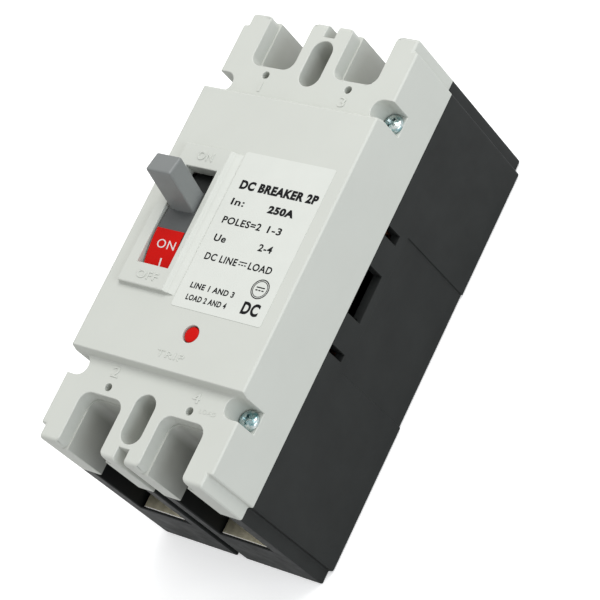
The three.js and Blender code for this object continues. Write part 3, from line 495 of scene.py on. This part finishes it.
def letters(text, height, left, right, baseline, thickness=0.05, bold=0.0, soften=0.0):
    """Text as a solid mesh, fitted between two X positions, standing on z = 0. Returns a bmesh."""
    curve = bpy.data.curves.new("lettering", "FONT")
    curve.body = text
    curve.size = 1.0
    curve.extrude = 0.5
    curve.offset = bold
    curve.resolution_u = 5
    curve.space_character = 1.12
    if soften:
        curve.bevel_depth = soften
        curve.bevel_resolution = 1
        curve.offset = bold - soften
    carrier = add_object("lettering", curve)
    bpy.context.view_layer.update()
    mesh = evaluated_mesh(carrier)
    bpy.data.objects.remove(carrier)
    bpy.data.curves.remove(curve)
    shape = bmesh.new()
    shape.from_mesh(mesh)
    bpy.data.meshes.remove(mesh)
    bmesh.ops.remove_doubles(shape, verts=shape.verts, dist=1e-5)
    xs = [v.co.x for v in shape.verts]
    zs = [v.co.z for v in shape.verts]
    capital = max(v.co.y for v in shape.verts)
    across = (right - left) / (max(xs) - min(xs))
    up = height / capital
    deep = thickness / (max(zs) - min(zs))
    for v in shape.verts:
        v.co.x = (left + (v.co.x - min(xs)) * across) * MM
        v.co.y = (baseline + v.co.y * up) * MM
        v.co.z = (v.co.z - min(zs)) * deep * MM
    return shape


def merge(name, shapes, lift):
    """Joins bmeshes into one object; lift gives each point its Z from its Y and its height."""
    whole = bmesh.new()
    for shape in shapes:
        mesh = bpy.data.meshes.new("part")
        shape.to_mesh(mesh)
        shape.free()
        whole.from_mesh(mesh)
        bpy.data.meshes.remove(mesh)
    for v in whole.verts:
        x, y, height = v.co / MM
        v.co = Vector((x, y, lift(y, height))) * MM
    return object_from(name, whole)


def ring(x, y, outer, inner, thickness=0.05):
    """A flat printed ring."""
    shape = bmesh.new()
    loops = []
    for radius, height in ((outer, 0), (outer, thickness), (inner, thickness), (inner, 0)):
        loops.append([shape.verts.new(Vector((x + across, y + along, height)) * MM)
                      for across, along in circle(radius)])
    for number, loop in enumerate(loops):
        following = loops[(number + 1) % len(loops)]
        for step in range(len(loop)):
            after = (step + 1) % len(loop)
            shape.faces.new((loop[step], loop[after], following[after], following[step]))
    bmesh.ops.recalc_face_normals(shape, faces=shape.faces)
    return shape


def bar(x0, x1, y0, y1, thickness=0.05):
    """A small printed rectangle."""
    shape = bmesh.new()
    bmesh.ops.create_cube(shape, size=1)
    for v in shape.verts:
        v.co.x = (x0 if v.co.x < 0 else x1) * MM
        v.co.y = (y0 if v.co.y < 0 else y1) * MM
        v.co.z = (0 if v.co.z < 0 else thickness) * MM
    return shape


# ---------------------------------------------------------------- front cover


def shoulder_height(along):
    """The terminal shoulder's surface: a fillet up to the raised field, and a rounded end edge."""
    from_step = along - PLATEAU_HALF_LENGTH
    if from_step < STEP_FILLET:
        reach = STEP_FILLET - max(from_step, 0)
        return SHOULDER_Z + STEP_FILLET - math.sqrt(STEP_FILLET ** 2 - reach ** 2)
    into_round = along - (HALF_LENGTH - END_ROUND)
    if into_round > 0:
        into_round = min(into_round, END_ROUND)
        return SHOULDER_Z - END_ROUND + math.sqrt(END_ROUND ** 2 - into_round ** 2)
    return SHOULDER_Z


def on_shoulder(vert):
    _, y, z = vert.co / MM
    return abs(z - SHOULDER_Z) < 0.01 and abs(y) > PLATEAU_HALF_LENGTH - 0.01


def is_shoulder_face(face):
    return all(on_shoulder(vert) for vert in face.verts)


def bend_shoulders(shape):
    """Gives both shoulders their fillet and their rounded end edge, in steps of 18 degrees."""
    angles = [math.radians(a) for a in (18, 36, 54, 72)]
    stops = [PLATEAU_HALF_LENGTH + STEP_FILLET * (1 - math.cos(a)) for a in angles]
    stops += [PLATEAU_HALF_LENGTH + STEP_FILLET, HALF_LENGTH - END_ROUND]
    stops += [HALF_LENGTH - END_ROUND * (1 - math.sin(a)) for a in angles]
    slice_across(shape, is_shoulder_face, [sign * stop for stop in stops for sign in (-1, 1)])
    for vert in [vert for vert in shape.verts if on_shoulder(vert)]:
        vert.co.z = shoulder_height(abs(vert.co.y) / MM) * MM


def corner_radius(a, b):
    """Rounding of the case's upright corners, or None away from them."""
    x, y = abs(a.x + b.x) / 2, abs(a.y + b.y) / 2
    upright = abs(a.x - b.x) < 0.01 and abs(a.y - b.y) < 0.01
    if not upright:
        return None
    if abs(y - BODY_HALF_LENGTH) < NEAR and x > NOSE_HALF_WIDTH - NEAR:
        return BODY_ROUND
    if abs(y - HALF_LENGTH) < NEAR and abs(x - NOSE_HALF_WIDTH) < NEAR:
        return NOSE_ROUND
    return None


def cover_radius(a, b):
    """Rounding of the cover's edge from a to b, worked out from the top down; zero leaves it sharp."""
    middle = (a + b) / 2
    x, y, z = abs(middle.x), abs(middle.y), middle.z
    corner = corner_radius(a, b)
    if corner is not None:
        return corner
    on_side = x > HALF_WIDTH - NEAR
    if z < SEAM_Z + NEAR:
        return SEAM_ROUND if x > NOSE_HALF_WIDTH - 0.5 or y > BODY_HALF_LENGTH - 0.5 else 0
    if z > ESCUTCHEON_Z - NEAR:
        opening = OPENING_X[0] < middle.x < OPENING_X[1] and OPENING_Y[0] < middle.y < OPENING_Y[1]
        return OPENING_ROUND if opening else ESCUTCHEON_ROUND
    if z > PLATEAU_Z + NEAR:
        return ESCUTCHEON_FOOT_ROUND
    if z > PLATEAU_Z - NEAR:
        if on_side:
            return BODY_ROUND
        return PLATEAU_END_ROUND if y > PLATEAU_HALF_LENGTH - 0.9 else RECESS_ROUND
    if z > SHOULDER_Z - 4 and on_side:
        in_pocket = abs(y - SCREW_Y) < SCREW_POCKET_HALF - 0.1
        return SCREW_POCKET_ROUND if in_pocket else BODY_ROUND
    if z > SHOULDER_Z - 2 and y > BODY_HALF_LENGTH - NEAR and x > NOSE_HALF_WIDTH - NEAR:
        return NOSE_ROUND if x < NOSE_HALF_WIDTH + NEAR else BODY_ROUND
    if abs(y - SCREW_Y) < SCREW_POCKET_HALF and x > POCKET_X[1]:
        if z > SHOULDER_Z - 0.6:
            return SCREW_MOUTH_ROUND
        return SCREW_POCKET_ROUND if on_side else 0
    if z > SHOULDER_Z - 2.2 and y > PLATEAU_HALF_LENGTH + 1:
        probe = abs(x - POLE_X) < PROBE_REACH and abs(y - PROBE_Y) < PROBE_REACH
        return RECESS_ROUND if probe else MOUTH_ROUND
    # The ledges in the mouths stay sharp, because rounding them opens cracks beside the flare.
    if y > HALF_LENGTH - NEAR and abs(z - LEDGE_Z) > 0.1:
        return MOUTH_ROUND
    return 0


def shade_recesses(piece, materials, bottom, top):
    """Gives the walls inside the load-end and line-end pockets their own darker material between two heights:
    painted shade.
    """
    for material in materials:
        piece.data.materials.append(material)
    for polygon in piece.data.polygons:
        x, y, z = (abs(value) / MM for value in polygon.center)
        inside = WINDOW_BACK_Y - 0.6 < y < HALF_LENGTH - 0.5 and POCKET_X[0] - 0.1 < x < POCKET_X[1] + 0.1
        if inside and bottom < z < top:
            polygon.material_index = 1 if polygon.center.y < 0 else 2


def make_cover():
    shape = mesh_from_node("front_cover")
    bend_shoulders(shape)
    cover = rounded("cover_moulding", shape, cover_radius, NOSE_ROUND)
    dress(cover, "light_plastic", "housing", "front_cover")
    # The walls inside the windows get painted shade, darker towards the bottom and darkest at the load end.
    shade_recesses(cover, (SHADED_LOAD_END, SHADED_LINE_END), SEAM_Z, LEDGE_Z + NEAR)


# Text, capital height, left, right, baseline, thickness, boldness, and the face it stands on.
RAISED_MARKS = (
    ("ON", 3.1, -23.1, -16.3, 22.3, 0.3, 0.01, ESCUTCHEON_Z),
    ("OFF", 2.8, -23.6, -14.5, -22.8, 0.3, 0.01, ESCUTCHEON_Z),
    ("2", 3.6, -19.0, -15.9, -56.0, 0.3, 0.01, SHOULDER_Z),
    ("4", 3.6, 16.6, 19.8, -56.7, 0.3, 0.01, SHOULDER_Z),
    ("LOAD", 1.5, 21.6, 28.2, -59.4, 0.18, 0.0, SHOULDER_Z),
    ("1", 3.6, -18.0, -17.0, 53.4, 0.3, 0.01, SHOULDER_Z),
    ("3", 3.6, 16.5, 19.2, 53.3, 0.3, 0.01, SHOULDER_Z),
    ("TRIP", 2.3, -2.0, 9.4, -46.2, 0.25, 0.0, PLATEAU_Z),
)


def make_raised_marks():
    """ON and OFF round the handle, the pole numbers, TRIP by the button, and LOAD by the second pole."""
    shapes = []
    for text, height, left, right, baseline, thickness, bold, face_z in RAISED_MARKS:
        shape = letters(text, height, left, right, baseline, thickness, bold=bold, soften=0.02)
        for v in shape.verts:
            v.co.z += (face_z - MARK_SINK) * MM
        shapes.append(shape)
    piece = merge("raised_marks", shapes, lambda y, height: height)
    smooth(piece, PRINT_CREASE)
    dress(piece, "light_plastic", "housing")


# ---------------------------------------------------------------- base


def base_radius(a, b):
    """Rounding of the base's edge from a to b; zero leaves it sharp."""
    middle = (a + b) / 2
    x, y, z = abs(middle.x), abs(middle.y), middle.z
    corner = corner_radius(a, b)
    if corner is not None:
        return corner
    on_side = x > HALF_WIDTH - 0.6
    on_end = y > HALF_LENGTH - NEAR
    on_rim = (on_side or y > BODY_HALF_LENGTH - NEAR) and (x > NOSE_HALF_WIDTH - 0.1 or on_end)
    if z > SEAM_Z - NEAR:
        return SEAM_ROUND if on_rim else 0
    if z < NEAR:
        return BODY_ROUND if on_rim else 0
    if on_side:
        return SIDE_RECESS_ROUND
    return MOUTH_ROUND if on_end else 0


def make_base():
    base = rounded("base_moulding", mesh_from_node("base"), base_radius, NOSE_ROUND)
    dress(base, "black_plastic", "housing", "base")
    # The terminal pocket walls get the darker black: painted shade.
    shade_recesses(base, (SHADED_BLACK, SHADED_BLACK), POCKET_LOW_Z, SEAM_Z - 0.1)


# ---------------------------------------------------------------- handle and flag


def handle_radius(a, b):
    """Rounding of the stem's edges, and a smaller one round the shield."""
    middle = (a + b) / 2
    reach = math.hypot(middle.y - HANDLE_PIVOT[0], middle.z - HANDLE_PIVOT[1])
    if reach > STEM_REACH:
        return STEM_ROUND
    return SHIELD_ROUND if reach > SHIELD_EDGE_REACH else 0


def make_handle():
    """The stem keeps the handle's grey; the shield is black behind the stem, and darker grey by the flag,
    where the darker grey is a painted shadow of the stem.
    """
    handle = rounded("handle_moulding", mesh_from_node("handle"), handle_radius, STEM_ROUND, segments=4)
    dress(handle, "grey_plastic", "toggle", "handle")
    handle.data.materials.append(SLOT_MATERIALS["black_plastic"])
    handle.data.materials.append(SHIELD_PAINTED_SHADOW)
    for polygon in handle.data.polygons:
        y, z = polygon.center.y / MM - HANDLE_PIVOT[0], polygon.center.z / MM - HANDLE_PIVOT[1]
        if math.hypot(y, z) < SHIELD_REACH:
            polygon.material_index = 1 if math.atan2(y, z) > REAR_SHIELD_ANGLE else 2


def on_flag(y, height):
    """The flag's curved face, at a height above it."""
    return HANDLE_PIVOT[1] + math.sqrt((FLAG_RADIUS + height) ** 2 - (y - HANDLE_PIVOT[0]) ** 2)


def make_flag():
    shape = mesh_from_node("handle_flag")
    flag = rounded("flag_moulding", shape, lambda a, b: FLAG_ROUND, FLAG_ROUND, segments=2)
    dress(flag, "red_plastic", "toggle", "handle_flag")
    print_shapes = [
        letters("ON", 3.0, -22.4, -14.6, -10.75, 0.06),
        letters("I", 3.0, -18.75, -18.1, -17.0, 0.06),
    ]
    for shape in print_shapes:
        bmesh.ops.subdivide_edges(shape, edges=shape.edges, cuts=1)
    print_piece = merge("flag_print", print_shapes, lambda y, height: on_flag(y, height - PRINT_SINK))
    smooth(print_piece, PRINT_CREASE)
    dress(print_piece, "label", "toggle", material=WHITE_INK)


# ---------------------------------------------------------------- label


def make_label():
    """A thin label with rounded corners."""
    x0, x1, y0, y1, corner = -6.0, 32.0, -28.5, 29.3, 0.9
    bottom, top = PLATEAU_Z - PRINT_SINK, LABEL_TOP
    shape = bmesh.new()
    outline = []
    for centre_x, centre_y, start in ((x1 - corner, y1 - corner, 0), (x0 + corner, y1 - corner, 90),
                                      (x0 + corner, y0 + corner, 180), (x1 - corner, y0 + corner, 270)):
        for step in range(7):
            turn = math.radians(start + 15 * step)
            outline.append((centre_x + corner * math.cos(turn), centre_y + corner * math.sin(turn)))
    lower = [shape.verts.new(Vector((x, y, bottom)) * MM) for x, y in outline]
    upper = [shape.verts.new(Vector((x, y, top)) * MM) for x, y in outline]
    shape.faces.new(upper)
    shape.faces.new(list(reversed(lower)))
    for step in range(len(outline)):
        after = (step + 1) % len(outline)
        shape.faces.new((lower[step], lower[after], upper[after], upper[step]))
    label = rounded("label_film", shape, lambda a, b: LABEL_ROUND if min(a.z, b.z) > top - 0.01 else 0,
                    LABEL_ROUND, segments=2)
    dress(label, "label", "housing", "rating_label")


# Text, capital height, left, right, baseline and boldness.
LABEL_LINES = (
    ("DC BREAKER 2P", 3.1, -2.1, 30.6, 16.2, 0.058),
    ("In:", 2.4, -2.3, 3.2, 10.0, 0.026),
    ("250A", 2.6, 13.4, 24.2, 9.9, 0.058),
    ("POLES=2", 2.5, -2.2, 14.1, 3.1, 0.026),
    ("1-3", 2.5, 17.0, 22.7, 3.1, 0.026),
    ("Ue", 2.5, -2.0, 3.0, -3.6, 0.026),
    ("2-4", 2.5, 16.9, 22.6, -3.6, 0.026),
    ("DC LINE", 2.5, -2.0, 11.6, -10.5, 0.026),
    ("LOAD", 2.5, 16.6, 26.3, -10.5, 0.026),
    ("LINE 1 AND 3", 2.0, -1.9, 16.6, -21.1, 0.034),
    ("LOAD 2 AND 4", 2.0, -1.4, 15.6, -25.4, 0.034),
    ("DC", 4.2, 21.8, 28.8, -25.3, 0.045),
)


def direct_current_mark(x0, x1, dash, pitch, y):
    """The generic sign for direct current: a bar over three dashes that start at y."""
    dashes = [bar(x0 + pitch * n, x0 + dash + pitch * n, y, y + 0.4) for n in range(3)]
    return [bar(x0, x1, y + 1.0, y + 1.4), *dashes]


def make_label_print():
    lines = [letters(*line[:5], bold=line[5]) for line in LABEL_LINES]
    lines += [ring(25.2, -16.1, 3.5, 3.15), ring(25.2, -16.1, 2.9, 2.65)]
    lines += direct_current_mark(23.5, 26.9, 0.9, 1.25, -16.75)
    lines += direct_current_mark(12.4, 15.6, 0.8, 1.2, -9.9)
    label_print = merge("label_print", lines, lambda y, height: LABEL_TOP - PRINT_SINK + height)
    smooth(label_print, PRINT_CREASE)
    dress(label_print, "black_plastic", "housing", material=INK)


# ---------------------------------------------------------------- screws and button


def wedge(place, length, width, depth, turn):
    """One tapered blade of a cross recess, which starts a little above the screw's head."""
    shape = bmesh.new()
    bmesh.ops.create_cube(shape, size=1)
    for v in shape.verts:
        shorter, thinner, height = (0.45, 0.7, -depth) if v.co.z < 0 else (1.0, 1.0, 0.6)
        v.co = Vector((v.co.x * length * shorter, v.co.y * width * thinner, height)) * MM
    bmesh.ops.rotate(shape, verts=shape.verts, matrix=Matrix.Rotation(turn, 3, "Z"))
    bmesh.ops.translate(shape, verts=shape.verts, vec=Vector(place) * MM)
    return object_from("wedge", shape)


SCREW_HEAD_HEIGHT = 2.3
THREAD_START_Z = 42.0
THREAD_PITCH = 0.8
THREAD_TURNS = 22


def make_screw(number, x, y, turn):
    """A pan-head screw with a cross recess, turned by its own angle."""
    seat, top = SCREW_SEAT_Z, SCREW_SEAT_Z + SCREW_HEAD_HEIGHT
    profile = [(0, 40), (0.9, 40.1), (1.2, 41.5)]
    for thread in range(THREAD_TURNS):
        z = THREAD_START_Z + thread * THREAD_PITCH
        profile += [(1.35, z), (1.74, z + 0.32), (1.74, z + 0.42), (1.35, z + 0.74)]
    profile += [(1.6, 60), (1.6, seat + 0.02), (3.3, seat + 0.02), (3.5, seat + 0.1), (3.6, seat + 0.35),
                (3.6, seat + 0.95), (3.46, seat + 1.3), (3.15, seat + 1.62), (2.6, seat + 1.92),
                (1.8, seat + 2.13), (0.9, top - 0.03), (0, top)]
    screw = lathe(f"cover_screw_body_{number}", profile, (x, y, 0))
    blades = [wedge((x, y, top), 4.7, 1.05, 1.5, turn + quarter) for quarter in (0, math.pi / 2)]
    blades.append(wedge((x, y, top), 2.0, 2.0, 1.7, turn + math.pi / 4))
    cut_away(screw, blades)
    smooth(screw, 30)
    dress(screw, "zinc_steel", "housing", f"cover_screw_{number}")


def make_screws():
    corners = ((-1, 1, 0.3), (1, 1, 1.1), (-1, -1, 0.75), (1, -1, 0.15))
    for number, (side, end, turn) in enumerate(corners, start=1):
        make_screw(number, side * SCREW_X, end * SCREW_Y, turn)


def make_button():
    """The button's retaining foot, stem, collar and slightly domed face."""
    profile = [(0, 49.9), (1.2, 49.9), (1.5, 50.2), (1.5, 78.2), (3.7, 78.2), (3.9, 78.4), (3.9, 79.9),
               (3.7, 80.1), (2.85, 80.1), (2.85, 82.9), (2.78, 83.2), (2.6, 83.42), (2.3, 83.54),
               (1.5, 83.59), (0, 83.6)]
    button = lathe("trip_button_moulding", profile, BUTTON_PLACE)
    smooth(button, 35)
    dress(button, "red_plastic", "push_button", "trip_button")


def make_button_spring():
    """The coil round the button's stem."""
    coil = object_from("button_spring_coil", mesh_from_node("button_spring"))
    smooth(coil, 60)
    dress(coil, "plain_steel", "housing", "button_spring")
    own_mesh(coil)


def make_braids():
    """The flexible braids, fixed to the load bars at one end, cut across in slices and given no body of their
    own.
    """
    for pole in (1, 3):
        shape = mesh_from_node(f"braid_{pole}")
        slice_across(shape, lambda face: True, [-29 + 1.5 * step for step in range(10)])
        braid = rounded(f"braid_{pole}_weave", shape, lambda a, b: BRAID_ROUND, BRAID_ROUND, segments=2)
        dress(braid, "bare_copper", None, f"braid_{pole}", material=BRAID)
        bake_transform(braid)


# ---------------------------------------------------------------- terminals


def bar_radius(a, b):
    """Rounding of a terminal bar's edge: the sheared end edge is the softest one."""
    low = min(a.z, b.z)
    if low < BAR_LOW_Z:
        return 0
    at_end = min(abs(a.y), abs(b.y)) > BAR_END_Y - 0.1 and low > PAD_TOP_Z - 0.1
    return SHEARED_ROUND if at_end else BAR_ROUND


def is_highlighted_edge(polygon):
    """True on the rounding between the pad's top face and its end face, which carries the painted highlight.
    """
    _, y, z = polygon.center / MM
    reach = SHEARED_ROUND + NEAR
    slanted = 0.05 < abs(polygon.normal.y) < 0.995
    return abs(y) > BAR_END_Y - reach and z > PAD_TOP_Z - reach and slanted


def make_terminals():
    for node in ("line_terminal_1", "line_terminal_3", "load_terminal_2", "load_terminal_4"):
        bar_piece = rounded(node + "_bar", mesh_from_node(node), bar_radius, SHEARED_ROUND, segments=2)
        dress(bar_piece, "plated_copper", "housing", node)
        # The rounded end edge gets the near-white metal: a painted highlight.
        bar_piece.data.materials.append(EDGE_PAINTED_HIGHLIGHT)
        for polygon in bar_piece.data.polygons:
            if is_highlighted_edge(polygon):
                polygon.material_index = 1


# ---------------------------------------------------------------- studio


# The floor bounces less light onto the breaker than white paper would, and shows itself brighter.
FLOOR_HALF_SIZE_M = 4.0
FLOOR_Z = -0.2
FLOOR_BOUNCE = 0.68
FLOOR_LIFT = 0.36


def make_floor():
    shape = bmesh.new()
    bmesh.ops.create_grid(shape, x_segments=2, y_segments=2, size=FLOOR_HALF_SIZE_M)
    bmesh.ops.translate(shape, verts=shape.verts, vec=(0, 0, FLOOR_Z * MM))
    floor = object_from("floor", shape)
    material, tree, shader, place = node_tree("floor_paper")
    paper = noise(tree, place, 30, detail=2)
    white = mottle(tree, paper, (0.93, 0.93, 0.93), (0.95, 0.95, 0.95))
    seen = tree.nodes.new("ShaderNodeLightPath").outputs["Is Camera Ray"]
    for socket, bounced, shown in (("Base Color", FLOOR_BOUNCE, 1.0), ("Emission Color", 0.0, FLOOR_LIFT)):
        share = map_range(tree, seen, 0.0, 1.0, bounced, shown)
        tree.links.new(scaled(tree, white, share), shader.inputs[socket])
    shader.inputs["Emission Strength"].default_value = 1.0
    shader.inputs["Roughness"].default_value = 0.9
    shader.inputs["Specular IOR Level"].default_value = 0.0
    floor.data.materials.append(material)


def add_softbox(name, place, target, size, power, colour=(1, 1, 1)):
    """A rectangular lamp aimed at a target. Its place, target and size are in metres, its power in watts."""
    light = bpy.data.lights.new(name, "AREA")
    light.shape = "RECTANGLE"
    light.size, light.size_y = size
    light.energy = power
    light.color = colour
    lamp = add_object(name, light)
    lamp.location = place
    lamp.rotation_mode = "QUATERNION"
    lamp.rotation_quaternion = (Vector(target) - lamp.location).to_track_quat("-Z", "Y")


WORLD_STRENGTH = 0.70


def make_lights():
    world = bpy.data.worlds.new("studio")
    world.use_nodes = True
    background = world.node_tree.nodes["Background"]
    background.inputs["Color"].default_value = (1.0, 1.0, 1.0, 1)
    background.inputs["Strength"].default_value = WORLD_STRENGTH
    bpy.context.scene.world = world
    add_softbox("key", (0.3, 1.05, 1.75), (0, 0, 0.04), (1.5, 1.2), 26.9)
    add_softbox("side", (1.7, -0.1, 0.75), (0, 0, 0.05), (1.0, 0.8), 9.4, (0.862, 0.938, 1.0))


# The camera looks at the breaker from the load end's right, high up, with the picture turned.
VIEW_AZIMUTH = math.radians(67)
VIEW_ELEVATION = math.radians(48.5)
VIEW_ROLL = math.radians(-46.4)
VIEW_TARGET = (-14.8, 7.7, 14.7)
VIEW_DISTANCE = 865.5
LENS = 148.4
SENSOR = 36.0


def make_camera():
    camera = bpy.data.cameras.new("camera")
    camera.lens = LENS
    camera.sensor_width = SENSOR
    camera.clip_start = 0.05
    camera.clip_end = 20
    carrier = add_object("camera", camera)
    level = math.cos(VIEW_ELEVATION)
    back = Vector((math.sin(VIEW_AZIMUTH) * level, -math.cos(VIEW_AZIMUTH) * level, math.sin(VIEW_ELEVATION)))
    level_right = Vector((math.cos(VIEW_AZIMUTH), math.sin(VIEW_AZIMUTH), 0))
    level_up = back.cross(level_right)
    right = math.cos(VIEW_ROLL) * level_right + math.sin(VIEW_ROLL) * level_up
    up = back.cross(right)
    turn = Matrix((right, up, back)).transposed()
    carrier.rotation_mode = "QUATERNION"
    carrier.rotation_quaternion = turn.to_quaternion()
    carrier.location = (Vector(VIEW_TARGET) + VIEW_DISTANCE * back) * MM
    bpy.context.scene.camera = carrier


# ---------------------------------------------------------------- assembly

bpy.context.scene.view_settings.view_transform = "Standard"
finish_carried_nodes()
make_camera()
make_cover()
make_raised_marks()
make_base()
make_handle()
make_flag()
make_label()
make_label_print()
make_screws()
make_button()
make_button_spring()
make_braids()
make_terminals()
make_floor()
make_lights()
